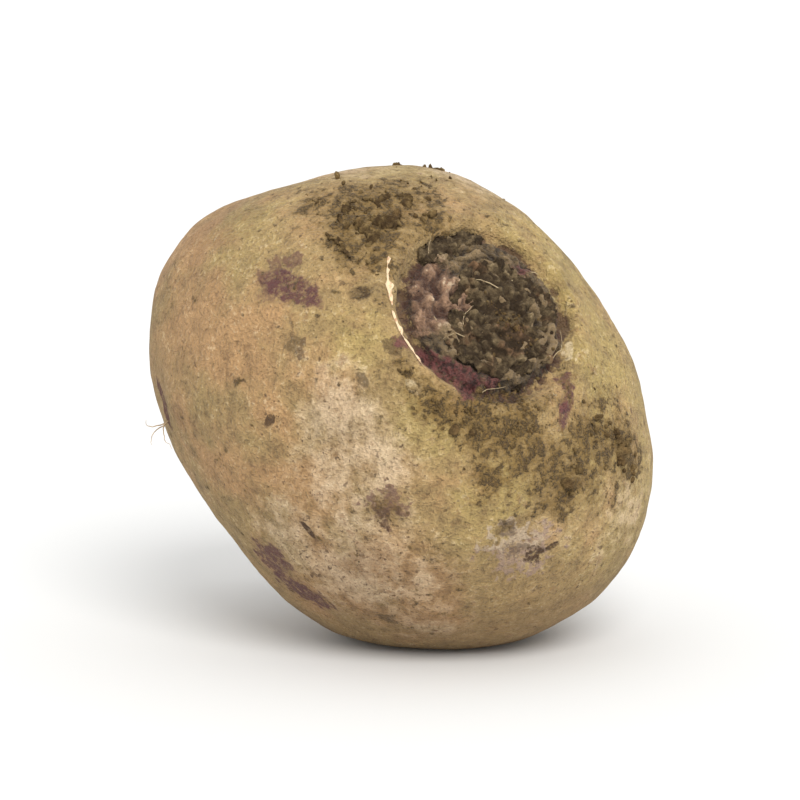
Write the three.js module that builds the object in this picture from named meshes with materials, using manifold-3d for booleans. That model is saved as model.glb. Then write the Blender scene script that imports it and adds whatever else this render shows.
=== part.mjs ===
// A beetroot as it comes out of the field, lying on its side: a lopsided globe with a ringed leaf crown at
// one end and a tapering tap root at the other. Dried soil sits in the crown and clings to the shoulder.
// Millimetres, +Z up, resting on z = 0. The crown looks towards -Y, lifted and turned a little to +X.
import * as THREE from "three";
import { mergeVertices } from "three/addons/utils/BufferGeometryUtils.js";
import Module from "manifold-3d";

// Driving dimensions of the root, in its own frame: its axis is Z, with the crown at the top.
const BELLY_RADIUS = 44.5; // of the belly, before it is pressed oval
const LONG_RADIUS = 47.8; // of the belly along X
const SHORT_RADIUS = 38.2; // of the belly along Y
const CROWN_HEIGHT = 38; // from the belly's middle to the leaf crown
const CROWN_RADIUS = 15; // of the ring of old leaf bases
const GROOVE_DEPTH = 1.6; // of the groove round that ring
const BASE_DEPTH = 38; // from the belly's middle to where the body narrows to the tap root
const TAIL_RADIUS = 4.8; // of the tap root where it leaves the body
const TAIL_LENGTH = 22; // of the tap root, as broken off
const TAIL_BEND = 6; // how far the tip of the tap root curves aside

// How it lies: rolled about its own axis, leaned over until the crown looks outwards, then turned on the spot.
const ROLL = THREE.MathUtils.degToRad(128);
const LEAN = THREE.MathUtils.degToRad(55);
const TURN = THREE.MathUtils.degToRad(28);
const FLAT_DEPTH = 2.2; // how much of the roundness is lost where it rests

const SEGMENTS = 72; // of the root, round its axis
const RINGS = 45; // of the root, from the tip of the tail to the crown
const CAKE_DETAIL = 5; // how finely a cake of soil is divided
const CRUMB_DETAIL = 1; // how finely a crumb of soil is divided
const SOIL_GAP = 0.3; // between the skin and the soil on it
const SOIL_ROUGHNESS = 0.16; // how uneven soil is, as a share of its size
const CRUMB_LENGTH = 1.2; // of a crumb, and its height and how far it stands off, as shares of its size
const CRUMB_HEIGHT = 0.4;
const CRUMB_LIFT = 0.25;

// Places on the skin are in degrees: round the root's axis from X, and down from the crown. A lump is a
// swelling, or a hollow where it is negative, in millimetres, that fades over the degrees of its spread.
const LUMPS = [
  { round: -20, down: 77, swell: -2.6, spread: 17 },
  { round: -54, down: 60, swell: 1.2, spread: 18 },
  { round: 6, down: 97, swell: 1.8, spread: 24 },
  { round: 64, down: 122, swell: -1.6, spread: 22 },
  { round: 128, down: 135, swell: 1.6, spread: 24 },
  { round: 238, down: 62, swell: -1.4, spread: 26 },
];

// Cakes of dried soil: their length and width along the skin, how far that length is turned from the line
// down from the crown, and their height.
const CAKES = {
  crown_soil: { round: 184, down: 5, length: 22, width: 24, turn: 10, height: 2.2 },
  crown_rim_soil: { round: -25, down: 19, length: 7, width: 15, turn: 0, height: 1.4 },
  shoulder_soil: { round: -3, down: 37, length: 12, width: 22, turn: 0, height: 1.1 },
};

// Loose crumbs of soil, and how far across each is.
const CRUMBS = {
  soil_crumb_1: { round: -42, down: 64, size: 2.0 },
  soil_crumb_2: { round: -52, down: 60, size: 1.8 },
  soil_crumb_3: { round: -61, down: 59, size: 1.6 },
  soil_crumb_4: { round: -71, down: 53, size: 1.6 },
  soil_crumb_5: { round: -84, down: 57, size: 1.5 },
  soil_crumb_6: { round: 186, down: 46, size: 2.2 },
};

const wasm = await Module();
wasm.setup();

// The geometry as one closed surface, without seams or empty triangles.
function closed(geometry) {
  geometry.deleteAttribute("normal");
  geometry.deleteAttribute("uv");
  const merged = mergeVertices(geometry);
  const corners = Array.from(merged.index.array);
  const kept = [];
  for (let i = 0; i < corners.length; i += 3) {
    const [a, b, c] = corners.slice(i, i + 3);
    if (a !== b && b !== c && c !== a) {
      kept.push(a, b, c);
    }
  }
  merged.setIndex(kept);
  return merged;
}

// The geometry with every vertex passed through a function that moves it.
function reshape(geometry, move) {
  const position = geometry.attributes.position;
  const point = new THREE.Vector3();
  for (let i = 0; i < position.count; i += 1) {
    point.fromBufferAttribute(position, i);
    move(point, i);
    position.setXYZ(i, point.x, point.y, point.z);
  }
  return geometry;
}

function toSolid(geometry) {
  return new wasm.Manifold(new wasm.Mesh({
    numProp: 3,
    vertProperties: new Float32Array(geometry.attributes.position.array),
    triVerts: new Uint32Array(geometry.index.array),
  }));
}

function toGeometry(solid) {
  const mesh = solid.getMesh();
  const geometry = new THREE.BufferGeometry();
  geometry.setAttribute("position", new THREE.BufferAttribute(mesh.vertProperties, 3));
  geometry.setIndex(new THREE.BufferAttribute(mesh.triVerts, 1));
  return geometry;
}

// The direction from the middle of the root to a place on its skin.
function towards({ round, down }) {
  const turned = THREE.MathUtils.degToRad(round);
  const lowered = THREE.MathUtils.degToRad(down);
  return new THREE.Vector3(
    Math.sin(lowered) * Math.cos(turned),
    Math.sin(lowered) * Math.sin(turned),
    Math.cos(lowered),
  );
}

// Half of the root's outline, from the tip of the tail out to the belly and back in to the crown.
function rootOutline() {
  const tip = -BASE_DEPTH - TAIL_LENGTH;
  const curve = new THREE.SplineCurve([
    new THREE.Vector2(0, tip),
    new THREE.Vector2(0.45 * TAIL_RADIUS, tip + 1.5),
    new THREE.Vector2(0.65 * TAIL_RADIUS, tip + 8),
    new THREE.Vector2(TAIL_RADIUS, -BASE_DEPTH - 8),
    new THREE.Vector2(1.7 * TAIL_RADIUS, -BASE_DEPTH - 3.5),
    new THREE.Vector2(0.3 * BELLY_RADIUS, -BASE_DEPTH + 0.6),
    new THREE.Vector2(0.5 * BELLY_RADIUS, -0.86 * BASE_DEPTH),
    new THREE.Vector2(0.74 * BELLY_RADIUS, -0.68 * BASE_DEPTH),
    new THREE.Vector2(0.91 * BELLY_RADIUS, -0.44 * BASE_DEPTH),
    new THREE.Vector2(BELLY_RADIUS, -0.08 * BASE_DEPTH),
    new THREE.Vector2(0.98 * BELLY_RADIUS, 0.24 * CROWN_HEIGHT),
    new THREE.Vector2(0.88 * BELLY_RADIUS, 0.54 * CROWN_HEIGHT),
    new THREE.Vector2(0.7 * BELLY_RADIUS, 0.79 * CROWN_HEIGHT),
    new THREE.Vector2(CROWN_RADIUS + 8, CROWN_HEIGHT - 3.2),
    new THREE.Vector2(CROWN_RADIUS + 3, CROWN_HEIGHT - 0.6),
    new THREE.Vector2(CROWN_RADIUS, CROWN_HEIGHT - GROOVE_DEPTH),
    new THREE.Vector2(0.84 * CROWN_RADIUS, CROWN_HEIGHT - 0.3),
    new THREE.Vector2(0.45 * CROWN_RADIUS, CROWN_HEIGHT + 0.3),
    new THREE.Vector2(0, CROWN_HEIGHT),
  ]);
  const outline = curve.getPoints(RINGS);
  outline[0].x = 0;
  outline[RINGS].x = 0;
  return outline;
}

// The root in its own frame: the outline spun round, pressed oval, made lumpy, and its tail bent.
function rootGeometry() {
  const lathe = new THREE.LatheGeometry(rootOutline(), SEGMENTS).rotateX(Math.PI / 2);
  return reshape(closed(lathe), (point) => {
    const belly = THREE.MathUtils.smoothstep(Math.hypot(point.x, point.y), CROWN_RADIUS, 0.9 * BELLY_RADIUS);
    point.x *= THREE.MathUtils.lerp(1, LONG_RADIUS / BELLY_RADIUS, belly);
    point.y *= THREE.MathUtils.lerp(1, SHORT_RADIUS / BELLY_RADIUS, belly);
    const outwards = point.clone().normalize();
    for (const lump of LUMPS) {
      const apart = THREE.MathUtils.radToDeg(outwards.angleTo(towards(lump)));
      point.addScaledVector(outwards, lump.swell * Math.exp(-((apart / lump.spread) ** 2)));
    }
    point.x += TAIL_BEND * THREE.MathUtils.smoothstep(-point.z, BASE_DEPTH - 6, BASE_DEPTH + TAIL_LENGTH);
  });
}

// The root with its skin moved out by the gap that the soil keeps to it.
function grownRoot(root) {
  const grown = root.clone();
  grown.computeVertexNormals();
  const normals = grown.attributes.normal;
  const normal = new THREE.Vector3();
  return reshape(grown, (point, i) => {
    normal.fromBufferAttribute(normals, i);
    point.addScaledVector(normal, SOIL_GAP);
  });
}

// Where the root lies: leaned over, with its middle over the origin and its lowest point below z = 0.
function lyingPose(root) {
  const pose = new THREE.Matrix4().makeRotationZ(TURN);
  pose.multiply(new THREE.Matrix4().makeRotationX(LEAN));
  pose.multiply(new THREE.Matrix4().makeRotationZ(ROLL));
  const { min, max } = new THREE.Box3().setFromBufferAttribute(
    root.clone().applyMatrix4(pose).attributes.position,
  );
  return pose.setPosition(-(min.x + max.x) / 2, -(min.y + max.y) / 2, -min.z - FLAT_DEPTH);
}

// A smooth unevenness between -1 and 1 that differs from place to place.
function unevenness(x, y, z) {
  return (Math.sin(1.7 * x + 2.3 * y) + Math.sin(2.9 * y + 1.3 * z) + Math.sin(2.1 * z + 1.9 * x)) / 3;
}

// A lump of soil lying on the skin: a ball pressed to its length, width and height, laid along the skin,
// with its underside cut to the root. Lift is how far its middle stands off the skin.
function soilGeometry(skin, grown, place, { length, width, height, turn = 0, lift = 0, detail }) {
  const caster = new THREE.Raycaster();
  const skinAlong = (direction) => {
    const start = direction.clone().setLength(4 * BELLY_RADIUS);
    caster.set(start, direction.clone().normalize().negate());
    return caster.intersectObject(skin)[0];
  };
  const hit = skinAlong(towards(place));
  const normal = hit.face.normal;
  const down = towards({ round: place.round, down: place.down + 90 }).projectOnPlane(normal).normalize();
  const lengthwise = down.applyAxisAngle(normal, THREE.MathUtils.degToRad(turn));
  const widthwise = new THREE.Vector3().crossVectors(normal, lengthwise);
  const ball = reshape(closed(new THREE.IcosahedronGeometry(1, detail)), (point) => {
    const rough = unevenness(3 * point.x + place.round, 3 * point.y + place.down, 3 * point.z);
    const { x, y, z } = point.multiplyScalar(1 + SOIL_ROUGHNESS * rough);
    const beside = hit.point.clone();
    beside.addScaledVector(lengthwise, (x * length) / 2);
    beside.addScaledVector(widthwise, (y * width) / 2);
    point.copy(skinAlong(beside).point).addScaledVector(normal, z * height + lift);
  });
  return toGeometry(toSolid(ball).subtract(toSolid(grown)));
}

const skinFinish = new THREE.MeshStandardMaterial({ color: 0xa58c64, roughness: 0.85, metalness: 0 });
const soilFinish = new THREE.MeshStandardMaterial({ color: 0x5c4d38, roughness: 1, metalness: 0 });

const root = rootGeometry();
const pose = lyingPose(root);
const skin = new THREE.Mesh(root, skinFinish);
const grown = grownRoot(root);
const group = new THREE.Group();

function add(name, geometry, finish) {
  const mesh = new THREE.Mesh(geometry, finish);
  mesh.name = name;
  group.add(mesh);
}

add("beetroot", reshape(root.clone().applyMatrix4(pose), (point) => {
  point.z = Math.max(point.z, 0);
}), skinFinish);
for (const [name, cake] of Object.entries(CAKES)) {
  const solid = soilGeometry(skin, grown, cake, { ...cake, detail: CAKE_DETAIL });
  add(name, solid.applyMatrix4(pose), soilFinish);
}
for (const [name, crumb] of Object.entries(CRUMBS)) {
  const { size } = crumb;
  const ball = {
    length: CRUMB_LENGTH * size,
    width: size,
    height: CRUMB_HEIGHT * size,
    lift: CRUMB_LIFT * size,
    detail: CRUMB_DETAIL,
  };
  add(name, soilGeometry(skin, grown, crumb, ball).applyMatrix4(pose), soilFinish);
}

export default group;
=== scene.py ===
"""The looks of a beetroot as it comes out of the field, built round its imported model.

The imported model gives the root, its cakes of dried soil and its crumbs at their real size and place. Each is
grown here into a finished piece that stands for it: the root with its corky skin, leaf crown, scars and tap
root, and the soil with its clods. Torn skin, dry leaf fibres, soil grains and root hairs are added to them.
All lengths are in metres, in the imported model's own frame.
"""

import logging
import math
import random
from dataclasses import dataclass, field
from enum import Enum
from typing import Any, Iterable

import bmesh
import bpy
import numpy as np
from mathutils import Matrix, Quaternion, Vector, noise
from mathutils.bvhtree import BVHTree


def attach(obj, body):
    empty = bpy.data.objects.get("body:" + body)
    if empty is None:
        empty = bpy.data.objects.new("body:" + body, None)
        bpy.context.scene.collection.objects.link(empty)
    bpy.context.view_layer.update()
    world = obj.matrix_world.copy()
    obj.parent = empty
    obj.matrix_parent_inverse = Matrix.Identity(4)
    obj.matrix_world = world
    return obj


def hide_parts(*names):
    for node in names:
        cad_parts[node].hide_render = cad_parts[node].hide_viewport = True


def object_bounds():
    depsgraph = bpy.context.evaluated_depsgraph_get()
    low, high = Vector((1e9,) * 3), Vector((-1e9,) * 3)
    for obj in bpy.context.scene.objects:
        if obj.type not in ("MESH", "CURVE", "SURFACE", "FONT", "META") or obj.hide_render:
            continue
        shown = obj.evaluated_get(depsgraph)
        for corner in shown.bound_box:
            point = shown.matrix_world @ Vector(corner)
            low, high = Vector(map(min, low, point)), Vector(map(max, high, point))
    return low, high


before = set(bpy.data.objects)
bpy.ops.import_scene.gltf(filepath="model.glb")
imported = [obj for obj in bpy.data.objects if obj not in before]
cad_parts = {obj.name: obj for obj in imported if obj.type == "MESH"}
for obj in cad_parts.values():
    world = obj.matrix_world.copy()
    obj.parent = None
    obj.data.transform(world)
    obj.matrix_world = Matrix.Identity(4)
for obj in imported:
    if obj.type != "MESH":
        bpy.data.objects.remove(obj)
CAD_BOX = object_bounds()

MM = 0.001
SEAM = 0.001 * MM  # corners of packed triangles that lie this close are one
FAR_OFF = 200 * MM  # well outside the root
HOVER = 10 * MM  # higher than anything lies above the skin
CROWN_HEIGHT = 38 * MM  # from the belly's middle to the leaf crown
CROWN_RADIUS = 15 * MM  # of the groove round the leaf crown
GOLDEN_ANGLE = math.pi * (3 - math.sqrt(5))  # between one leaf and the next that grew
GRAINY_PATCHES = 12  # how many of the soiled patches have loose grains on them
GRAINS = 34  # on a patch of full strength

log = logging.getLogger("beetroot")


# ---------------------------------------------------------------- places and noise


@dataclass(frozen=True)
class Place:
    """A place on the root, in degrees: round its axis, and down from the crown."""

    round: float
    down: float

    def direction(self) -> np.ndarray:
        """Works out the direction from the belly's middle to this place.

        Returns:
            The direction, in the root's own frame.
        """
        turned = math.radians(self.round)
        lowered = math.radians(self.down)
        return np.array([
            math.sin(lowered) * math.cos(turned),
            math.sin(lowered) * math.sin(turned),
            math.cos(lowered),
        ])


@dataclass(frozen=True)
class Spot:
    """An oval spot on the skin: its place, its length and width, and how far it is turned there.

    The length runs down from the crown where turn is 0.
    """

    place: Place
    length: float
    width: float
    turn: float = 0.0


def smooth(values: np.ndarray, low: float, high: float) -> np.ndarray:
    """Eases values from 0 to 1.

    Args:
        values: The values.
        low: Which of them becomes 0.
        high: Which of them becomes 1, which may be the smaller of the two.

    Returns:
        The eased values.
    """
    share = np.clip((values - low) / (high - low), 0, 1)
    return share * share * (3 - 2 * share)


def unevenness(points: np.ndarray, size: float, octaves: int = 2, seed: int = 0) -> np.ndarray:
    """Smooth noise, from about -1 to 1.

    Args:
        points: Where it is wanted, one row each.
        size: How far apart its lumps are.
        octaves: How many finer layers it has.
        seed: Which noise of that size it is.

    Returns:
        One value for each point.
    """
    shift = Vector((7.1, 3.7, 5.3)) * seed
    values = (noise.fractal(Vector(point) / size + shift, 1.0, 2.0, octaves) for point in points)
    return np.fromiter(values, float, len(points))


def clods(points: np.ndarray, size: float, seed: int = 0) -> np.ndarray:
    """How far inside its clod each point is, from 0 in the cracks between clods to about 1.

    Args:
        points: Where it is wanted, one row each.
        size: How far across a clod is.
        seed: Which clods of that size they are.

    Returns:
        One value for each point.
    """
    shift = Vector((4.3, 9.1, 2.7)) * seed
    reaches = (noise.voronoi(Vector(point) / size + shift)[0] for point in points)
    return np.fromiter((reach[1] - reach[0] for reach in reaches), float, len(points))


def warped(points: np.ndarray, size: float, amount: float, seed: int) -> np.ndarray:
    """Pushes points about with smooth noise, so that what is drawn on them isn't regular.

    Args:
        points: The points, one row each.
        size: How far apart the noise's lumps are.
        amount: About how far the points are pushed.
        seed: The first of the three noises, one for each axis.

    Returns:
        The pushed points.
    """
    pushes = [unevenness(points, size, 2, seed + axis) for axis in range(3)]
    return points + amount * np.stack(pushes, 1)


def reach_of(own: np.ndarray) -> np.ndarray:
    """How far each point of the root's own frame lies from its axis."""
    return np.hypot(own[:, 0], own[:, 1])


class RootFrame:
    """The root's own frame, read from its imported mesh.

    Z leaves the crown, and X is where the tap root bends.
    """

    def __init__(self, packed: bpy.types.Object) -> None:
        """Finds the middle of the crown and the tip of the tap root, where most of the mesh's edges meet.

        Args:
            packed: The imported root.
        """
        surface = merged_copy(packed)
        poles = sorted(surface.verts, key=lambda vert: len(vert.link_edges))[-2:]
        crown, tip = sorted(poles, key=lambda vert: vert.co.y)
        axis = sum((face.normal for face in crown.link_faces), Vector()).normalized()
        along = tip.co - crown.co
        bend = (along - along.project(axis)).normalized()
        self.basis = np.array([bend, axis.cross(bend), axis])
        self.middle = np.array(crown.co - axis * CROWN_HEIGHT)
        self.surface = BVHTree.FromBMesh(surface)
        surface.free()

    def own(self, points: np.ndarray) -> np.ndarray:
        """The points in the root's own frame."""
        return (points - self.middle) @ self.basis.T

    def outwards(self, place: Place) -> Vector:
        """The direction from the belly's middle to a place, in the model's frame."""
        return Vector(place.direction() @ self.basis)

    def away(self, points: np.ndarray, place: Place) -> np.ndarray:
        """How many degrees each point of the own frame lies from a place."""
        rays = points / np.linalg.norm(points, axis=1)[:, None]
        return np.degrees(np.arccos(np.clip(rays @ place.direction(), -1, 1)))


def merged_copy(source: bpy.types.Object) -> bmesh.types.BMesh:
    """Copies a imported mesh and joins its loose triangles.

    Args:
        source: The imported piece.

    Returns:
        The copy, which the caller frees.
    """
    surface = bmesh.new()
    surface.from_mesh(source.data)
    bmesh.ops.remove_doubles(surface, verts=surface.verts, dist=SEAM)
    surface.normal_update()
    return surface


def placed(name: str, data: bpy.types.ID) -> bpy.types.Object:
    """Puts an object that holds a mesh, curve, camera or light into the scene.

    Args:
        name: The object's name.
        data: What it holds.

    Returns:
        The object.
    """
    piece = bpy.data.objects.new(name, data)
    bpy.context.scene.collection.objects.link(piece)
    return piece


def new_object(name: str, surface: bmesh.types.BMesh) -> bpy.types.Object:
    """Puts a mesh into the scene, smoothly shaded.

    Args:
        name: The piece's name.
        surface: Its mesh, which is freed.

    Returns:
        The object.
    """
    mesh = bpy.data.meshes.new(name)
    surface.normal_update()
    surface.to_mesh(mesh)
    surface.free()
    mesh.shade_smooth()
    return placed(name, mesh)


def apply_modifiers(piece: bpy.types.Object) -> None:
    """Bakes modifiers into their mesh.

    Args:
        piece: The piece that has them.
    """
    evaluated = piece.evaluated_get(bpy.context.evaluated_depsgraph_get())
    mesh = bpy.data.meshes.new_from_object(evaluated)
    piece.modifiers.clear()
    old = piece.data
    piece.data = mesh
    bpy.data.meshes.remove(old)
    mesh.name = piece.name


def subdivide(piece: bpy.types.Object, levels: int) -> None:
    """Smooths a piece with a Subdivision Surface, baked in.

    Args:
        piece: The piece.
        levels: How often its faces are divided.
    """
    modifier = piece.modifiers.new("smooth", "SUBSURF")
    modifier.levels = levels
    modifier.render_levels = levels
    apply_modifiers(piece)


def remesh(piece: bpy.types.Object, voxel: float) -> None:
    """Gives a piece an even mesh of small squares, smoothed a little and baked in.

    Args:
        piece: The piece.
        voxel: How far across a square is.
    """
    modifier = piece.modifiers.new("even", "REMESH")
    modifier.mode = "VOXEL"
    modifier.voxel_size = voxel
    modifier.use_smooth_shade = True
    soften = piece.modifiers.new("soften", "SMOOTH")
    soften.iterations = 3
    apply_modifiers(piece)
    drop_bits(piece)


def drop_bits(piece: bpy.types.Object) -> None:
    """Removes everything but the largest connected part of a piece.

    Args:
        piece: The piece.
    """
    surface = bmesh.new()
    surface.from_mesh(piece.data)
    waiting = set(surface.verts)
    parts = []
    while waiting:
        edge_of_part = [waiting.pop()]
        part = list(edge_of_part)
        while edge_of_part:
            vert = edge_of_part.pop()
            for link in vert.link_edges:
                other = link.other_vert(vert)
                if other in waiting:
                    waiting.remove(other)
                    edge_of_part.append(other)
                    part.append(other)
        parts.append(part)
    parts.sort(key=len)
    bmesh.ops.delete(surface, geom=[vert for part in parts[:-1] for vert in part], context="VERTS")
    surface.to_mesh(piece.data)
    surface.free()


def vertices(piece: bpy.types.Object) -> np.ndarray:
    """Reads the places of a piece's vertices.

    Args:
        piece: The piece.

    Returns:
        A row for each vertex.
    """
    places = np.empty(len(piece.data.vertices) * 3)
    piece.data.vertices.foreach_get("co", places)
    return places.reshape(-1, 3)


def normals(piece: bpy.types.Object) -> np.ndarray:
    """Reads the outward directions at a piece's vertices.

    Args:
        piece: The piece.

    Returns:
        A row for each vertex.
    """
    directions = np.empty(len(piece.data.vertices) * 3, np.float32)
    piece.data.vertex_normals.foreach_get("vector", directions)
    return directions.reshape(-1, 3).astype(float)


def move_vertices(piece: bpy.types.Object, places: np.ndarray) -> None:
    """Puts the piece's vertices at new places."""
    piece.data.vertices.foreach_set("co", places.ravel())
    piece.data.update()


def remember(piece: bpy.types.Object, name: str, values: np.ndarray) -> None:
    """Stores a value at each vertex, for the piece's finish to read."""
    attribute = piece.data.attributes.new(name, "FLOAT", "POINT")
    attribute.data.foreach_set("value", values.astype(np.float32))


# ---------------------------------------------------------------- finishes


def linear(red: int, green: int, blue: int) -> tuple[float, float, float, float]:
    """Turns a colour as it looks on a screen into the light that a shader needs.

    Args:
        red: How red it is, 0 to 255.
        green: How green it is.
        blue: How blue it is.

    Returns:
        The shader's colour.
    """

    def light(value: int) -> float:
        """Takes the screen's curve off one of the three."""
        share = value / 255
        return share / 12.92 if share <= 0.04045 else ((share + 0.055) / 1.055) ** 2.4

    return light(red), light(green), light(blue), 1.0


class Signal:
    """A node's output that Python's operators work on, each adding its Math node."""

    def __init__(self, tree: bpy.types.NodeTree, socket: bpy.types.NodeSocket) -> None:
        """Wraps an output socket of a node in the tree."""
        self.tree = tree
        self.socket = socket

    def _maths(self, operation: str, *values: "Signal | float") -> "Signal":
        """Adds a Math node.

        Args:
            operation: What it works out.
            values: The values for its sockets, in order.

        Returns:
            Its result.
        """
        node = self.tree.nodes.new("ShaderNodeMath")
        node.operation = operation
        for socket, value in zip(node.inputs, values):
            if isinstance(value, Signal):
                self.tree.links.new(value.socket, socket)
            else:
                socket.default_value = value
        return Signal(self.tree, node.outputs[0])

    def __add__(self, other: "Signal | float") -> "Signal":
        """The sum."""
        return self._maths("ADD", self, other)

    __radd__ = __add__

    def __sub__(self, other: "Signal | float") -> "Signal":
        """The difference."""
        return self._maths("SUBTRACT", self, other)

    def __rsub__(self, other: float) -> "Signal":
        """The difference, from a plain number."""
        return self._maths("SUBTRACT", other, self)

    def __mul__(self, other: "Signal | float") -> "Signal":
        """The product."""
        return self._maths("MULTIPLY", self, other)

    __rmul__ = __mul__

    def at_least(self, other: "Signal | float") -> "Signal":
        """The larger of the two."""
        return self._maths("MAXIMUM", self, other)

    def eased(self, low: float, high: float) -> "Signal":
        """Eases this value from 0 to 1.

        Args:
            low: Where it becomes 0.
            high: Where it becomes 1, which may be the smaller of the two.

        Returns:
            The eased value.
        """
        node = self.tree.nodes.new("ShaderNodeMapRange")
        node.interpolation_type = "SMOOTHSTEP"
        swapped = low > high
        node.inputs["From Min"].default_value = min(low, high)
        node.inputs["From Max"].default_value = max(low, high)
        node.inputs["To Min"].default_value = 1.0 if swapped else 0.0
        node.inputs["To Max"].default_value = 0.0 if swapped else 1.0
        self.tree.links.new(self.socket, node.inputs["Value"])
        return Signal(self.tree, node.outputs[0])


class Finish:
    """A material under construction, on one Principled shader."""

    def __init__(self, name: str, **constants: Any) -> None:
        """Starts the material.

        Args:
            name: The material's name.
            constants: Values of the shader's own sockets, by their names with _ for a space.
        """
        self.material = bpy.data.materials.new(name)
        self.material.use_nodes = True
        self.tree = self.material.node_tree
        self.shader = self.tree.nodes["Principled BSDF"]
        for socket, value in constants.items():
            self.shader.inputs[socket.replace("_", " ")].default_value = value
        self.where = self.node("ShaderNodeTexCoord", output="Object")

    def node(
        self,
        kind: str,
        settings: dict[str, Any] | None = None,
        sockets: dict[str | int, Any] | None = None,
        output: str | int = 0,
    ) -> Signal:
        """Adds any node.

        Args:
            kind: The node's type.
            settings: Its own properties, set first.
            sockets: Values or signals for its inputs, by name or number.
            output: Which of its outputs is wanted.

        Returns:
            That output.
        """
        node = self.tree.nodes.new(kind)
        for key, value in (settings or {}).items():
            setattr(node, key, value)
        for key, value in (sockets or {}).items():
            if isinstance(value, Signal):
                self.tree.links.new(value.socket, node.inputs[key])
            else:
                node.inputs[key].default_value = value
        return Signal(self.tree, node.outputs[output])

    def noise(self, size: float, detail: float = 2.0, rough: float = 0.5, warp: float = 0.0) -> Signal:
        """Adds noise around 0, at most 0.5 either way.

        Args:
            size: How far apart its lumps are.
            detail: How many finer layers it has.
            rough: How strong those are.
            warp: How far its lumps are pulled out of shape.

        Returns:
            The noise.
        """
        sockets = {
            "Vector": self.where,
            "Scale": 1 / size,
            "Detail": detail,
            "Roughness": rough,
            "Distortion": warp,
        }
        return self.node("ShaderNodeTexNoise", sockets=sockets) - 0.5

    def attribute(self, name: str) -> Signal:
        """A value that the mesh remembers."""
        return self.node("ShaderNodeAttribute", {"attribute_name": name}, output="Fac")

    def mix(self, base: Any, over: Any, share: Any, blend: str = "MIX") -> Signal:
        """Mixes two colours.

        Args:
            base: The colour where share is 0.
            over: The colour where share is 1.
            share: The mask.
            blend: How the second is laid over the first.

        Returns:
            The mixed colour.
        """
        node = self.tree.nodes.new("ShaderNodeMix")
        node.data_type = "RGBA"
        node.blend_type = blend
        factor, first, second = node.inputs[0], node.inputs[6], node.inputs[7]
        for socket, value in ((factor, share), (first, base), (second, over)):
            if isinstance(value, Signal):
                self.tree.links.new(value.socket, socket)
            else:
                socket.default_value = value
        return Signal(self.tree, node.outputs[2])

    def shade(self, colour: Any, amount: Any) -> Signal:
        """Makes a colour lighter or darker.

        Args:
            colour: The colour.
            amount: What its brightness is multiplied by.

        Returns:
            The new colour.
        """
        grey = self.node("ShaderNodeCombineColor", sockets={"Red": amount, "Green": amount, "Blue": amount})
        return self.mix(colour, grey, 1.0, "MULTIPLY")

    def bump(self, height: Signal, depth: float, under: Signal | None = None) -> Signal:
        """Presses the surface's normal.

        Args:
            height: The height that presses it.
            depth: How many metres a height of 1 stands for.
            under: Another pressed normal, over which it lies.

        Returns:
            The normal.
        """
        sockets = {"Height": height, "Strength": 1.0, "Distance": depth}
        if under is not None:
            sockets["Normal"] = under
        return self.node("ShaderNodeBump", sockets=sockets)

    def spot(self, skin: "Skin", spot: Spot, ragged: float = 0.0, grain: float = 1.5 * MM) -> Signal:
        """How far inside an oval spot the surface is: 1 at its middle, 0 at its edge, less outside.

        Args:
            skin: The surface that the spot lies on.
            spot: The spot.
            ragged: How far, as a share of its size, noise moves its edge.
            grain: The size of that noise.

        Returns:
            The mask, to be eased.
        """
        middle, normal = skin.at(spot.place)
        lengthwise = skin.lengthwise(spot.place, normal, spot.turn)
        turned = Matrix((lengthwise, normal.cross(lengthwise), normal)).transposed().to_euler()
        scaled = (spot.length / 2, spot.width / 2, max(spot.length, spot.width) / 2)
        inside = self.node(
            "ShaderNodeMapping",
            {"vector_type": "TEXTURE"},
            {"Vector": self.where, "Location": middle, "Rotation": turned, "Scale": scaled},
        )
        reach = self.node("ShaderNodeVectorMath", {"operation": "LENGTH"}, {0: inside}, output="Value")
        if ragged:
            return 1 - reach + self.noise(grain, 3.0) * (2 * ragged)
        return 1 - reach

    def feed(self, socket: str, value: Signal) -> None:
        """Links a signal into one of the shader's sockets."""
        self.tree.links.new(value.socket, self.shader.inputs[socket])


# ---------------------------------------------------------------- the root


class Skin:
    """The finished surface of the root, and of what covers it, on which other pieces are laid."""

    def __init__(self, root_frame: RootFrame, piece: bpy.types.Object) -> None:
        """Starts with the root alone.

        Args:
            root_frame: The root's own frame.
            piece: The finished root.
        """
        self.root_frame = root_frame
        self.trees: list[BVHTree] = []
        self.cover(piece)

    def cover(self, piece: bpy.types.Object) -> None:
        """Adds a piece on which others can lie.

        Args:
            piece: The piece, whose final mesh is read.
        """
        surface = bmesh.new()
        surface.from_mesh(piece.data)
        self.trees.append(BVHTree.FromBMesh(surface))
        surface.free()

    def at(self, place: Place) -> tuple[Vector, Vector]:
        """Finds a place on the surface.

        Args:
            place: The place.

        Returns:
            The outermost point there, and the way that the root's overall shape faces.
        """
        outwards = self.root_frame.outwards(place)
        start = Vector(self.root_frame.middle) + FAR_OFF * outwards
        hits = [tree.ray_cast(start, -outwards) for tree in self.trees]
        point = min((hit for hit in hits if hit[0]), key=lambda hit: hit[3])[0]
        normal = self.root_frame.surface.ray_cast(start, -outwards)[1]
        return point, normal

    def below(self, point: Vector, normal: Vector) -> Vector:
        """The point of the skin straight below a point that stands off it."""
        return self.trees[0].ray_cast(point + normal * HOVER, -normal)[0] or point

    def lengthwise(self, place: Place, normal: Vector, turn: float) -> Vector:
        """Finds a direction along the skin.

        Args:
            place: Where it starts.
            normal: The way that the skin faces there.
            turn: How many degrees it is turned from the way down from the crown.

        Returns:
            The direction.
        """
        down = self.root_frame.outwards(Place(place.round, place.down + 90))
        along = (down - down.project(normal)).normalized()
        along.rotate(Quaternion(normal, math.radians(turn)))
        return along


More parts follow.
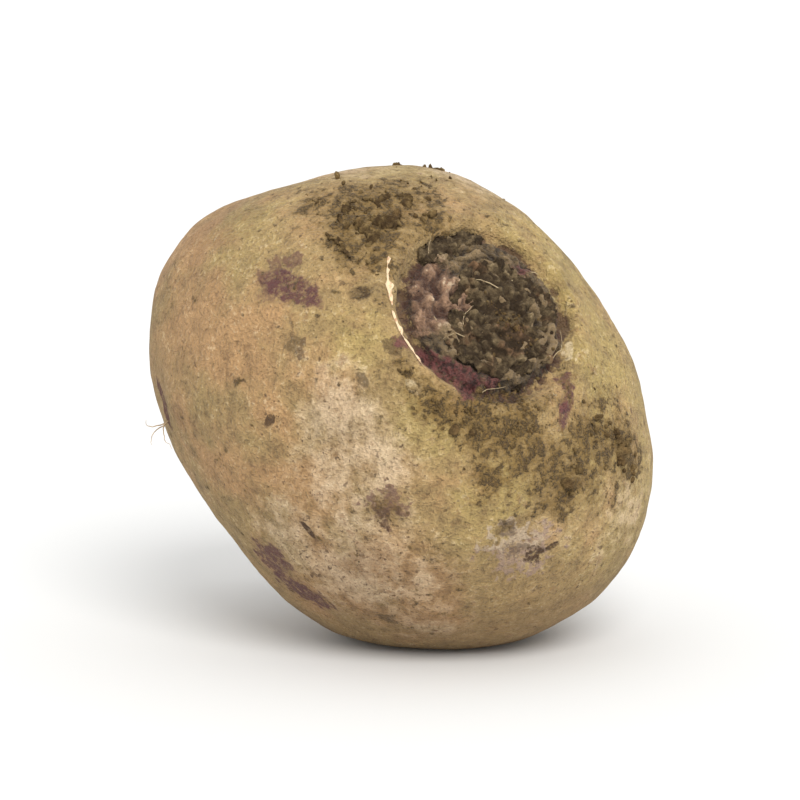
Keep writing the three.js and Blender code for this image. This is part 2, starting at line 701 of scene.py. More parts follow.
@dataclass(frozen=True)
class LeafCrown:
    """The crown: bases of old leaves in a spiral, with a groove round them and a wrinkled shoulder."""

    radius: float = 12.8 * MM
    bases: int = 40
    base_length: float = 2.2 * MM
    base_width: float = 0.8 * MM
    base_height: float = 1.1 * MM
    scar_width: float = 0.6 * MM
    rubble_reach: float = 16.5 * MM  # how far out the rough soil between the bases goes
    groove_depth: float = 1.0 * MM
    groove_width: float = 1.2 * MM
    wrinkle_height: float = 0.2 * MM
    wrinkle_pitch: float = 2.1 * MM
    seed: int = 5

    def relief(self, own: np.ndarray) -> np.ndarray:
        """Works out how far the crown's details stand off its plain shape.

        Args:
            own: Points of the crown, in the root's own frame.

        Returns:
            A height for each point.
        """
        reach = reach_of(own)
        pushed = warped(own, 3 * MM, 0.7 * MM, 31)
        height = self._bases(pushed) * smooth(reach, self.radius + 1.5 * MM, self.radius - 0.5 * MM)
        rough = 0.7 * unevenness(own, 1.8 * MM, 4, 11) + clods(pushed, 2.6 * MM, 12) - 0.4
        creases = 0.3 - np.abs(unevenness(pushed, 3.4 * MM, 3, 16))
        fine = 0.35 - np.abs(unevenness(own, 1.4 * MM, 3, 17))
        rubble = MM * (0.7 * rough + creases + 0.6 * fine)
        height += rubble * smooth(reach, self.rubble_reach, self.rubble_reach - 2.5 * MM)
        wander = 0.9 * MM * unevenness(own, 6 * MM, 2, 12)
        groove = np.exp(-(((reach + wander - CROWN_RADIUS) / self.groove_width) ** 2))
        depth = self.groove_depth * (1 + 0.8 * unevenness(own, 5 * MM, 2, 13))
        return height - depth * groove

    def _bases(self, points: np.ndarray) -> np.ndarray:
        """Works out the height of the leaf bases, each with a scar along its inner side.

        Args:
            points: Points of the crown, in the root's own frame, pushed about a little.

        Returns:
            A height for each point.
        """
        chance = random.Random(self.seed)
        height = np.zeros(len(points))
        for number in range(self.bases):
            turned = number * GOLDEN_ANGLE + chance.uniform(-0.25, 0.25)
            reach = self.radius * math.sqrt((number + 0.4) / self.bases)
            size = chance.uniform(0.65, 1.3)
            across = points[:, 0] * math.cos(turned) + points[:, 1] * math.sin(turned) - reach
            along = points[:, 1] * math.cos(turned) - points[:, 0] * math.sin(turned)
            across = across + along**2 / (2 * max(reach, 3 * MM))
            oval = np.hypot(along / (size * self.base_length), across / (size * self.base_width))
            beside = (across - 1.6 * self.base_width) / self.scar_width
            scar = np.exp(-((along / self.base_length) ** 2) - beside**2)
            height += self.base_height * chance.uniform(0.4, 1.2) * (smooth(oval, 1.35, 0.5) - 0.6 * scar)
        return height

    def wrinkles(self, own: np.ndarray) -> np.ndarray:
        """Works out the fine ring wrinkles of the shoulder round the crown.

        Args:
            own: Points of the shoulder, in the root's own frame.

        Returns:
            A height for each point.
        """
        reach = reach_of(own)
        band = smooth(reach, 16 * MM, 18 * MM) * smooth(reach, 34 * MM, 20 * MM)
        wander = 2.2 * MM * unevenness(own, 8 * MM, 2, 14)
        broken = smooth(unevenness(own, 5 * MM, 2, 15), -0.25, 0.35)
        rings = np.sin((reach + wander) * (2 * math.pi / self.wrinkle_pitch))
        return self.wrinkle_height * rings * band * broken


@dataclass(frozen=True)
class Patch:
    """Part of a zone: its place, how far it spreads in degrees, and how strong it is at its middle."""

    place: Place
    spread: float
    strength: float


class Zone:
    """Something that spreads over part of the skin."""

    def __init__(self, *rows: tuple[float, float, float, float]) -> None:
        """Makes its patches.

        Args:
            rows: For each patch its place round and down the root, its spread and its strength.
        """
        self.patches = [Patch(Place(*row[:2]), *row[2:]) for row in rows]

    def over(self, own: np.ndarray, root_frame: RootFrame) -> np.ndarray:
        """Works out how strong it is.

        Args:
            own: Points of the root's own frame.
            root_frame: That frame.

        Returns:
            A value for each point, from 0 to 1.
        """
        bare = np.ones(len(own))
        for patch in self.patches:
            away = root_frame.away(own, patch.place) / patch.spread
            bare *= 1 - patch.strength * np.exp(-(away**2))
        return 1 - bare


# where a film of soil sticks to the skin
SOILED = Zone(
    (-2, 42, 10, 0.95), (-20, 38, 9, 0.95), (6, 33, 8, 0.9), (-1, 51, 6, 0.6), (-40, 44, 7, 0.3),
    (118, 28, 8, 1.0), (98, 29, 6, 0.95), (80, 29, 4, 0.5), (142, 32, 9, 1.0),
    (125, 24.5, 4.5, 1.0), (147, 25, 5, 1.0), (20, 32, 6, 0.7), (-20, 28, 8, 0.7),
    (178, 40, 10, 0.9), (187, 50, 8, 0.9), (160, 46, 10, 0.8), (134, 40, 9, 0.8),
    (123, 68, 11, 0.2), (105, 59, 5, 0.5), (131, 88, 14, 0.15), (220, 130, 22, 0.5),
    (320, 120, 20, 0.5), (0, 180, 26, 0.8),
)
# where the skin is rosy, and partly painted shade: the patch at 5 round and 90 down paints that side darker
# and more orange
ROSY_AND_SHADE = Zone(
    (73, 46, 10, 0.5), (84, 74, 18, 0.8), (29, 79, 20, 1.0), (48, 60, 12, 0.7), (110, 75, 12, 0.5),
    (62, 96, 18, 0.7), (5, 90, 16, 0.9), (112, 90, 16, 0.8), (124, 76, 14, 0.9),
)
PALE = Zone(
    (76, 47, 12, 1.0), (96, 50, 12, 0.9), (84, 60, 10, 0.6), (179, 61, 12, 0.7), (150, 58, 9, 0.5),
    (105, 66, 12, 0.6), (110, 84, 15, 1.0), (88, 84, 12, 0.7), (134, 90, 12, 0.6),
    (125, 72, 11, 0.6), (-60, 50, 16, 0.8), (-24, 60, 12, 0.8),
)
YELLOW = Zone(
    (8, 66, 13, 0.6), (58, 36, 9, 0.9), (-150, 36, 18, 0.9), (-90, 34, 16, 0.9), (180, 62, 18, 0.9),
    (100, 38, 9, 0.8), (134, 46, 12, 0.8), (-31, 55, 16, 0.8), (250, 70, 30, 0.6),
)
# where the skin is torn and the purple flesh shows
FLESH = Zone(
    (66, 25.5, 3, 0.8), (80, 22.5, 3, 1.0), (95, 21, 3.4, 1.0), (112, 20.5, 3.6, 1.0),
    (112, 24, 2.5, 0.8), (130, 19.5, 2.6, 0.9), (-88, 17, 3, 0.7), (172, 30, 2.5, 0.8),
)
# where leaf bases show through the soil
FRESH = Zone(
    (20, 17, 7, 1.0), (28, 9, 6, 0.9), (2, 21, 4, 0.8), (48, 15, 6, 0.8), (60, 20, 4, 0.6),
    (-88, 14, 5, 0.7),
)
FRECKLED = Zone(
    (110, 75, 11, 1.0), (100, 88, 14, 0.9), (128, 86, 12, 0.8), (84, 66, 9, 0.7), (164, 72, 9, 0.6),
    (149, 61, 7, 0.9), (106, 59, 7, 0.8), (60, 56, 8, 0.4), (240, 80, 20, 0.5),
)
ZONES = {
    "freckled": FRECKLED,
    "soiled": SOILED,
    "rosy_and_shade": ROSY_AND_SHADE,
    "pale": PALE,
    "yellow": YELLOW,
    "flesh": FLESH,
    "fresh": FRESH,
}


@dataclass
class Root:
    """The root itself: one grown piece from the leaf crown to the tip of the tap root."""

    root_frame: RootFrame
    crown: LeafCrown = field(default_factory=LeafCrown)
    smoothing: int = 2
    crown_reach: float = 17.5 * MM  # how far out the mesh is made finer
    crown_cuts: int = 3
    crown_side: float = 20 * MM  # the height above which a point is on the crown's side
    relief_reach: float = 20 * MM  # how far out the leaf crown's own relief goes
    shoulder_reach: float = 34 * MM
    dent: float = 0.18 * MM  # how deep a mark lies
    ring_height: float = 0.22 * MM
    ring_pitch: float = 2.3 * MM
    ridge_height: float = 0.5 * MM
    row_width: float = 2.4 * MM  # of the two rows of side roots, one on either side
    row_depth: float = 0.55 * MM

    def build(self, packed: bpy.types.Object) -> bpy.types.Object:
        """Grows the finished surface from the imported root.

        Args:
            packed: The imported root.

        Returns:
            The piece that stands for it.
        """
        surface = merged_copy(packed)
        limit = math.radians(60)
        bmesh.ops.join_triangles(
            surface, faces=surface.faces, angle_face_threshold=limit, angle_shape_threshold=limit
        )
        piece = new_object("root_surface", surface)
        subdivide(piece, self.smoothing)
        self._refine_crown(piece)
        places = vertices(piece)
        own = self.root_frame.own(places)
        heights = self._relief(own)
        lying = smooth(places[:, 2], 0.05 * MM, 2.5 * MM)
        move_vertices(piece, places + normals(piece) * (heights * lying)[:, None])
        top = smooth(own[:, 2], 25 * MM, 30 * MM)
        remember(piece, "crown", top * smooth(reach_of(own), 20 * MM, 10 * MM))
        remember(piece, "relief", heights / MM)
        # painted shade: 1 at the floor, easing to 0 at 26 mm up, where the skin is painted browner
        remember(piece, "low", smooth(places[:, 2], 26 * MM, 0))
        for name, zone in ZONES.items():
            remember(piece, name, zone.over(own, self.root_frame))
        return piece

    def _refine_crown(self, piece: bpy.types.Object) -> None:
        """Divides the crown's faces between its rings, for its finer details.

        Args:
            piece: The root's piece.
        """
        surface = bmesh.new()
        surface.from_mesh(piece.data)
        own = self.root_frame.own(vertices(piece))
        reach = reach_of(own)
        near = (reach < self.crown_reach) & (own[:, 2] > self.crown_side)
        edges = []
        for edge in surface.edges:
            first, second = (vert.index for vert in edge.verts)
            if near[first] and near[second] and abs(reach[first] - reach[second]) > 0.6 * edge.calc_length():
                edges.append(edge)
        bmesh.ops.subdivide_edges(surface, edges=edges, cuts=self.crown_cuts, use_grid_fill=True)
        surface.to_mesh(piece.data)
        surface.free()

    def _relief(self, own: np.ndarray) -> np.ndarray:
        """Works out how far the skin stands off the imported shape.

        Args:
            own: Points of the root's own frame.

        Returns:
            A height for each point.
        """
        reach = reach_of(own)
        top = own[:, 2] > self.crown_side
        lumps = 0.7 * unevenness(own, 24 * MM, 2, 1) + 0.3 * unevenness(own, 9 * MM, 2, 2)
        grain = 0.07 * unevenness(own, 2.4 * MM, 2, 3)
        heights = (lumps + grain) * MM * np.where(top, smooth(reach, 14 * MM, 20 * MM), 1.0)
        near = top & (reach < self.shoulder_reach)
        heights[near] += self.crown.wrinkles(own[near])
        crown = top & (reach < self.relief_reach)
        heights[crown] += self.crown.relief(own[crown])
        for mark in MARKS:
            size = math.degrees(min(mark.spot.length, mark.spot.width) / 2 / CROWN_HEIGHT)
            away = self.root_frame.away(own, mark.spot.place)
            heights -= self.dent * smooth(away, 1.3 * size, 0.7 * size)
        return heights + self._tail_relief(own)

    def _tail_relief(self, own: np.ndarray) -> np.ndarray:
        """Works out the rings, ridges and side-root scars towards the tap root.

        Args:
            own: Points of the root's own frame.

        Returns:
            A height for each point.
        """
        heights = np.zeros(len(own))
        lower = own[:, 2] < -10 * MM
        points = own[lower]
        down = points[:, 2] + 1.2 * MM * unevenness(points, 9 * MM, 2, 21)
        rings = self.ring_height * np.sin(down * (2 * math.pi / self.ring_pitch))
        broken = smooth(unevenness(points, 7 * MM, 2, 22), -0.4, 0.4)
        ridges = self.ridge_height * unevenness(points, 3.5 * MM, 3, 23)
        heights[lower] = rings * broken * smooth(down, -26 * MM, -38 * MM)
        heights[lower] += ridges * smooth(down, -34 * MM, -44 * MM)
        for side in (1, -1):
            row = np.exp(-((points[:, 0] / self.row_width) ** 2)) * (points[:, 1] * side > 0)
            dimples = 0.6 + 0.4 * unevenness(points, 2.5 * MM, 2, 24)
            heights[lower] -= self.row_depth * row * dimples * smooth(down, -16 * MM, -30 * MM)
        return heights


class Noises:
    """The noises that the layers of the root's finish share, from the widest to the finest."""

    def __init__(self, finish: Finish) -> None:
        """Adds them to a material, each around 0.

        Args:
            finish: The material.
        """
        self.cloud = finish.noise(11 * MM, 4.0, 0.6, 0.1)
        self.veil = finish.noise(4.5 * MM, 4.0, 0.65, 0.1)
        self.wisps = finish.noise(2.2 * MM, 5.0, 0.7, 0.1)
        self.fine = finish.noise(0.9 * MM, 4.0, 0.65)
        self.grain = finish.noise(0.45 * MM, 2.0)


@dataclass(frozen=True)
class SkinFinish:
    """Corky tan skin with dark specks and purple scars, and a crown of dull brown leaf bases."""

    # rosy tone, also used as painted shade on one side of the root
    rosy_and_shade: tuple = linear(180, 142, 97)
    khaki: tuple = linear(172, 144, 96)
    yellow: tuple = linear(180, 156, 96)
    pale: tuple = linear(210, 184, 150)
    light: tuple = linear(226, 206, 170)
    brown: tuple = linear(122, 88, 54)
    speck: tuple = linear(74, 52, 32)
    purple: tuple = linear(92, 56, 54)
    lilac: tuple = linear(146, 122, 112)
    scar: tuple = linear(92, 50, 38)
    soil: tuple = linear(116, 90, 44)
    soil_dark: tuple = linear(70, 52, 30)
    # painted shade in the hollows between the leaf bases
    leaf_hollow_shade: tuple = linear(80, 54, 42)
    leaf_base: tuple = linear(168, 132, 104)
    # painted highlight on the leaf bases' tops
    leaf_highlight: tuple = linear(220, 196, 164)
    crown_soil: tuple = linear(138, 116, 84)
    # painted shade in the hollows of the crown's soil
    crown_hollow_shade: tuple = linear(50, 38, 25)
    flesh: tuple = linear(108, 57, 55)
    flesh_dark: tuple = linear(54, 26, 24)

    def build(self, skin: Skin) -> bpy.types.Material:
        """Makes the material for the root.

        Args:
            skin: The root's surface, on which the scars are placed.

        Returns:
            The material.
        """
        finish = Finish("beetroot_skin", Roughness=0.85, Sheen_Weight=0.06, IOR=1.4)
        noises = Noises(finish)
        colour = self._marks(finish, noises, skin, self._bare_skin(finish, noises))
        colour, dusty = self._dust(finish, noises, colour)
        colour, moist = self._leaf_crown(finish, noises, colour)
        finish.feed("Base Color", colour)
        finish.feed("Roughness", 0.9 - moist * 0.4)
        under = finish.bump(noises.fine * 0.4 + noises.wisps * 0.6, 1.4 * MM)
        finish.feed("Normal", finish.bump(noises.grain * 0.5 + dusty, 0.5 * MM, under))
        return finish.material

    def _bare_skin(self, finish: Finish, noises: Noises) -> Signal:
        """Paints soft clouds of rose, khaki and yellow, pale cork, brown wisps and dark specks, with painted
        shade and highlight on the skin's bumps and painted shade towards the floor.

        Args:
            finish: The material.
            noises: Its noises.

        Returns:
            The colour.
        """
        cloud, veil, wisps, fine = noises.cloud, noises.veil, noises.wisps, noises.fine
        freckled = finish.attribute("freckled")
        # rosy clouds, partly painted shade where the zone darkens one side
        rosy_and_shade = (cloud + finish.attribute("rosy_and_shade") * 0.3).eased(0.0, 0.3)
        yellow = (finish.attribute("yellow") * 0.5 + veil - cloud * 0.8).eased(0.05, 0.55)
        pale = (finish.attribute("pale") * 0.8 + veil * 1.6 + wisps).eased(0.2, 0.9)
        colour = finish.mix(self.khaki, self.rosy_and_shade, rosy_and_shade)
        colour = finish.mix(colour, self.yellow, yellow * 0.85)
        colour = finish.mix(colour, self.pale, pale * 0.8)
        # partly random tone, partly painted shade and highlight: the same noises raise the skin's bumps, so
        # their hollows are painted darker and their tops lighter
        tone = cloud * 0.5 + veil * 0.9 + wisps + fine * 0.7 + noises.grain * 0.3
        colour = finish.shade(colour, (tone + 0.88).at_least(0.3))
        spots = finish.noise(1.6 * MM, 3.0, 0.6, 0.1)
        flecks = finish.noise(0.8 * MM, 2.0, 0.5)
        layers = (
            (self.brown, (wisps + veil * 0.8).eased(0.07, 0.26) * 0.6),
            (self.brown, (fine + veil * 0.6).eased(-0.07, -0.2) * 0.28),
            (self.light, (fine + veil * 0.5).eased(0.07, 0.22) * 0.35),
            (self.speck, (spots + cloud * 0.3 + freckled * 0.06).eased(0.16, 0.24) * 0.65),
            (self.speck, (flecks + veil * 0.2 + freckled * 0.1).eased(0.18, 0.26) * 0.6),
            # painted shade: the skin is laid browner towards the floor
            (self.brown, finish.attribute("low") * 0.35),
        )
        for over, share in layers:
            colour = finish.mix(colour, over, share)
        return colour

    def _marks(self, finish: Finish, noises: Noises, skin: Skin, colour: Signal) -> Signal:
        """Lays the scars and stains over the skin.

        Args:
            finish: The material.
            noises: Its noises.
            skin: The surface on which they are placed.
            colour: The skin's colour.

        Returns:
            The new colour.
        """
        patchy = finish.noise(1.1 * MM, 4.0, 0.7).eased(-0.14, 0.04) * 0.6 + 0.4
        for mark in MARKS:
            inside = finish.spot(skin, mark.spot, 2 * mark.ragged, 2.2 * MM)
            mask = (inside + noises.fine * (1.6 * mark.ragged)).eased(0.0, 0.35)
            colour = finish.mix(colour, getattr(self, mark.tone.value), mask * patchy * mark.strength)
        return colour

    def _dust(self, finish: Finish, noises: Noises, colour: Signal) -> tuple[Signal, Signal]:
        """Lays a film and specks of soil over the skin.

        Args:
            finish: The material.
            noises: Its noises.
            colour: The skin's colour.

        Returns:
            The new colour, and where the specks are.
        """
        soiled = finish.attribute("soiled")
        crumbly = finish.noise(1.5 * MM, 4.0, 0.7)
        drifts = finish.noise(4.2 * MM, 3.0, 0.6)
        film = (soiled * 0.7 + drifts * 1.4 + noises.fine + crumbly * 1.2).eased(0.12, 0.62)
        colour = finish.mix(colour, self.soil, film * 0.85)
        specks = (soiled * 0.2 + crumbly + drifts * 0.5).eased(0.16, 0.3)
        dark = finish.mix(self.soil, self.soil_dark, (noises.grain + noises.fine).eased(0.1, -0.1))
        return finish.mix(colour, dark, specks * 0.75), specks

    def _leaf_crown(self, finish: Finish, noises: Noises, colour: Signal) -> tuple[Signal, Signal]:
        """Lays the crown's leaf bases, soil and torn flesh over the skin, with painted shade in the hollows
        and along the groove, and painted highlights on the bases' tops.

        Args:
            finish: The material.
            noises: Its noises.
            colour: The skin's colour.

        Returns:
            The new colour, and how moist the surface is.
        """
        fine = noises.fine
        crown = finish.attribute("crown")
        relief = finish.attribute("relief")
        rough = finish.noise(1.3 * MM, 4.0, 0.7)
        # high follows the relief: painted shade in the crown's hollows, painted highlights on the leaf bases'
        # tops
        high = (relief * 0.5 + rough * 1.6).eased(-0.5, 0.65)
        soil = finish.mix(self.crown_hollow_shade, self.crown_soil, high)
        soil = finish.mix(soil, self.soil, (noises.grain + rough).eased(0.05, 0.25) * 0.25)
        bases = finish.mix(self.leaf_hollow_shade, self.leaf_base, high)
        bases = finish.mix(bases, self.leaf_highlight, (high + fine).eased(0.85, 1.1) * 0.7)
        fresh = (finish.attribute("fresh") + fine * 0.8 + rough * 0.8).eased(0.3, 0.75)
        soil = finish.mix(soil, bases, fresh * 0.85)
        colour = finish.mix(colour, soil, (crown + fine * 0.25 + rough * 0.4).eased(0.5, 0.6))
        # painted shade: darker where the relief is lowest, along the groove round the crown
        ring = (rough * 1.6 - relief).eased(0.6, 1.1) * crown.eased(0.2, 0.4)
        colour = finish.mix(colour, self.leaf_hollow_shade, ring * 0.8)
        raw = finish.mix(self.flesh_dark, self.flesh, (rough + fine).eased(-0.14, 0.1))
        moist = (finish.attribute("flesh") + fine * 0.9 + rough * 0.6).eased(0.4, 0.7)
        return finish.mix(colour, raw, moist * 0.85), moist


class Tone(Enum):
    """Which of the skin's colours a mark has."""

    PURPLE = "purple"
    DARK = "speck"
    BROWN = "brown"
    LILAC = "lilac"
    SOIL = "soil_dark"
    LIGHT = "light"
    SCAR = "scar"


@dataclass(frozen=True)
class Mark:
    """A scar or stain: its colour, how well it covers, how ragged its edge is, and where it is."""

    tone: Tone
    strength: float
    ragged: float
    spot: Spot


# tone, strength, raggedness; place round and down the root; length and width in mm, and turn
MARKS = [
    Mark(tone, strength, ragged, Spot(Place(around, down), length * MM, width * MM, turn))
    for tone, strength, ragged, around, down, length, width, turn in (
        (Tone.PURPLE, 0.95, 0.3, 32, 48, 14.5, 6, -33),
        (Tone.PURPLE, 0.6, 0.6, 28, 53, 7, 8, 0),
        (Tone.PURPLE, 0.7, 0.5, 23, 49, 4.5, 4, 20),
        (Tone.SOIL, 1.0, 0.15, 36, 32, 5.2, 3.2, 10),
        (Tone.SOIL, 0.7, 0.4, 71, 38, 2.4, 4, 0),
        (Tone.SOIL, 0.6, 0.9, 50, 50, 4, 5, 0),
        (Tone.PURPLE, 0.9, 0.4, 91, 100, 10, 9, 20),
        (Tone.PURPLE, 0.95, 0.35, 103, 105, 9, 14, 20),
        (Tone.DARK, 1.0, 0.1, 93, 78, 5.2, 1.5, -104),
        (Tone.PURPLE, 0.7, 0.9, 106, 58, 9, 7, 0),
        (Tone.DARK, 0.7, 0.9, 107, 60, 5, 5, 0),
        (Tone.LILAC, 0.7, 0.9, 146, 60, 12, 12, 0),
        (Tone.LIGHT, 0.35, 1.0, 144, 57, 7, 9, 0),
        (Tone.DARK, 1.0, 0.7, 150, 62, 3.6, 4.6, 0),
        (Tone.DARK, 0.7, 0.8, 141, 55, 3.5, 4, 0),
        (Tone.DARK, 0.6, 0.9, 145, 60, 4, 5, 0),
        (Tone.DARK, 1.0, 0.3, 155, 60, 1.5, 3.4, 20),
        (Tone.DARK, 0.9, 0.7, 65, 64, 3, 2.4, 0),
        (Tone.BROWN, 0.4, 1.2, 111, 75, 9, 10, 0),
        (Tone.BROWN, 0.35, 1.2, 8, 74, 16, 14, 0),
        (Tone.SCAR, 1.0, 0.3, 40, 102, 11, 4, 75),
        (Tone.SOIL, 0.7, 0.7, 66, 28, 3, 5, 0),
        (Tone.LIGHT, 0.5, 0.7, 87, 30, 2.6, 3.2, 0),
        (Tone.LIGHT, 0.5, 0.7, -158, 24, 2.6, 4.0, 20),
        (Tone.PURPLE, 0.95, 0.4, 173, 30, 9.5, 3.2, -54),
        (Tone.PURPLE, 0.9, 0.5, -178, 26, 4, 4.5, 0),
        (Tone.SOIL, 0.9, 0.4, 163, 47, 3, 4.6, 0),
        (Tone.SOIL, 0.7, 0.6, 123, 93, 3.4, 5, 0),
        (Tone.PURPLE, 0.7, 0.6, 250, 84, 9, 14, 30),
        (Tone.BROWN, 0.5, 1.2, 215, 70, 14, 12, 0),
        (Tone.PURPLE, 0.7, 0.7, 318, 96, 10, 8, 60),
        (Tone.DARK, 0.8, 0.5, 290, 78, 1.2, 4.5, 30),
    )
]


# ---------------------------------------------------------------- soil


@dataclass
class Soil:
    """Everything of dried soil on the root: cakes, crumbs and grains."""

    skin: Skin
    finish: bpy.types.Material
    voxel: float = 0.26 * MM
    depth: float = 2.4 * MM  # how far a cake sinks where it has worn away
    sunk: float = 0.3 * MM  # how far a crumb reaches into the skin
    crumb_clod: float = 1.2 * MM
    crumb_rough: float = 0.5 * MM
    seed: int = 3

    def cake(self, packed: bpy.types.Object, clod: float, rough: float, bare: float) -> bpy.types.Object:
        """A crumbly cake grown from a packed one, which breaks up into islands where it is thin.

        Args:
            packed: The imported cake.
            clod: How far across its clods are.
            rough: How far they stand out.
            bare: How much of it has worn away to the skin, from -1 for none to 1 for all.

        Returns:
            The piece that stands for it.
        """
        piece = new_object(packed.name + "_clods", merged_copy(packed))
        remesh(piece, self.voxel)
        places = vertices(piece)
        pushed = warped(places, clod, 0.3 * clod, 41)
        heights = rough * (1.3 * clods(pushed, clod, self.seed) - 0.6)
        heights += 0.7 * rough * unevenness(places, 0.5 * clod, 3, self.seed)
        drifts = unevenness(places, 2.2 * clod, 3, self.seed + 1)
        # read by the soil's finish for painted shade in the cracks and painted highlights on the clods
        remember(piece, "height", heights / rough)
        outwards = places - self.skin.root_frame.middle
        outwards /= np.linalg.norm(outwards, axis=1)[:, None]
        sunk = self.depth * smooth(drifts, bare + 0.2, bare - 0.3)
        move_vertices(piece, places + normals(piece) * heights[:, None] - outwards * sunk[:, None])
        self.skin.cover(piece)
        return self._dressed(piece)

    def crumb(self, packed: bpy.types.Object) -> bpy.types.Object:
        """A rough crumb grown from a packed one, which lies on the skin.

        Args:
            packed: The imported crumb.

        Returns:
            The piece that stands for it.
        """
        piece = new_object(packed.name + "_clod", merged_copy(packed))
        remesh(piece, 0.6 * self.voxel)
        places = vertices(piece)
        rough = self.crumb_rough
        heights = rough * clods(places, self.crumb_clod, self.seed) - 0.5 * rough
        heights += 0.5 * rough * unevenness(places, 0.7 * MM, 3, self.seed)
        # read by the soil's finish for painted shade in the cracks and painted highlights on the clods
        remember(piece, "height", heights / rough)
        places = places + normals(piece) * heights[:, None]
        outwards = Vector(places.mean(axis=0) - self.skin.root_frame.middle).normalized()
        points = [Vector(place) for place in places]
        gap = min((point - self.skin.below(point, outwards)).dot(outwards) for point in points)
        move_vertices(piece, places - np.array(outwards) * (gap + self.sunk))
        return self._dressed(piece)

    def grains(
        self,
        name: str,
        patches: Iterable[tuple[Place, float, int]],
        smallest: float,
        largest: float,
        fine: int = 1,
    ) -> bpy.types.Object:
        """Loose grains of soil scattered on the skin.

        Args:
            name: The piece's name.
            patches: Where they lie: a place, how far they spread in degrees, and how many there are.
            smallest: How far across the smallest grain is.
            largest: How far across the largest is.
            fine: How finely each is divided.

        Returns:
            One piece that holds them all.
        """
        chance = random.Random(self.seed)
        surface = bmesh.new()
        for place, spread, count in patches:
            for _ in range(count):
                turned = chance.uniform(0, 2 * math.pi)
                away = spread * abs(chance.gauss(0, 0.6))
                beside = away * math.sin(turned) / max(math.sin(math.radians(place.down)), 0.3)
                spot = Place(place.round + beside, place.down + away * math.cos(turned))
                point, normal = self.skin.at(spot)
                size = smallest + (largest - smallest) * chance.random() ** 2.5
                self._add_grain(surface, chance, point + normal * size * 0.15, size, fine)
        return self._dressed(new_object(name, surface))

    @staticmethod
    def _add_grain(
        surface: bmesh.types.BMesh, chance: random.Random, point: Vector, size: float, fine: int
    ) -> None:
        """Adds a rough grain, as a pressed and jittered ball of few faces.

        Args:
            surface: The mesh that holds the grains.
            chance: Where its shape comes from.
            point: Its middle.
            size: How far across it is.
            fine: How finely it is divided.
        """
        turned = Quaternion((chance.gauss(0, 1), chance.gauss(0, 1), chance.gauss(0, 1), chance.gauss(0, 1)))
        pressed = Matrix.Diagonal((1, chance.uniform(0.5, 1), chance.uniform(0.35, 0.7), 1))
        where = Matrix.Translation(point) @ turned.normalized().to_matrix().to_4x4() @ pressed
        made = bmesh.ops.create_icosphere(surface, subdivisions=fine, radius=size / 2, matrix=where)
        for vert in made["verts"]:
            rough = noise.noise(vert.co / (0.6 * size)) + chance.uniform(-0.15, 0.15)
            vert.co += (vert.co - point) * rough

    def _dressed(self, piece: bpy.types.Object) -> bpy.types.Object:
        """Gives a piece the soil's finish.

        Args:
            piece: The piece.

        Returns:
            The same piece.
        """
        piece.data.materials.clear()
        piece.data.materials.append(self.finish)
        return piece


@dataclass(frozen=True)
class SoilFinish:
    """Dried soil: brown, crumbly and quite matte, with painted shade in the cracks between its clods and
    painted highlights on their tops.
    """

    name: str
    # painted shade in the cracks between the clods
    dark: tuple
    middle: tuple
    # painted highlight on the clods' tops
    light: tuple
    rust: tuple

    def build(self) -> bpy.types.Material:
        """Makes the material.

        Returns:
            The material.
        """
        finish = Finish(self.name, Roughness=0.95, Specular_IOR_Level=0.25)
        patches = finish.noise(6 * MM, 3.0, 0.6).eased(0.0, 0.12)
        coarse = finish.noise(2.4 * MM, 4.0, 0.7)
        fine = finish.noise(0.7 * MM, 4.0, 0.65)
        # how far the clods stand out: painted shade where low, painted highlight where high
        high = (finish.attribute("height") * 0.5 + coarse * 1.8 + fine).eased(-0.5, 0.75)
        colour = finish.mix(self.dark, finish.mix(self.middle, self.rust, patches * 0.6), high)
        colour = finish.mix(colour, self.light, (high * 0.5 + fine).eased(0.42, 0.7) * 0.75)
        finish.feed("Base Color", colour)
        finish.feed("Normal", finish.bump(coarse * 0.4 + fine * 0.6, 1.8 * MM))
        return finish.material


# ---------------------------------------------------------------- torn skin, fibres and hairs


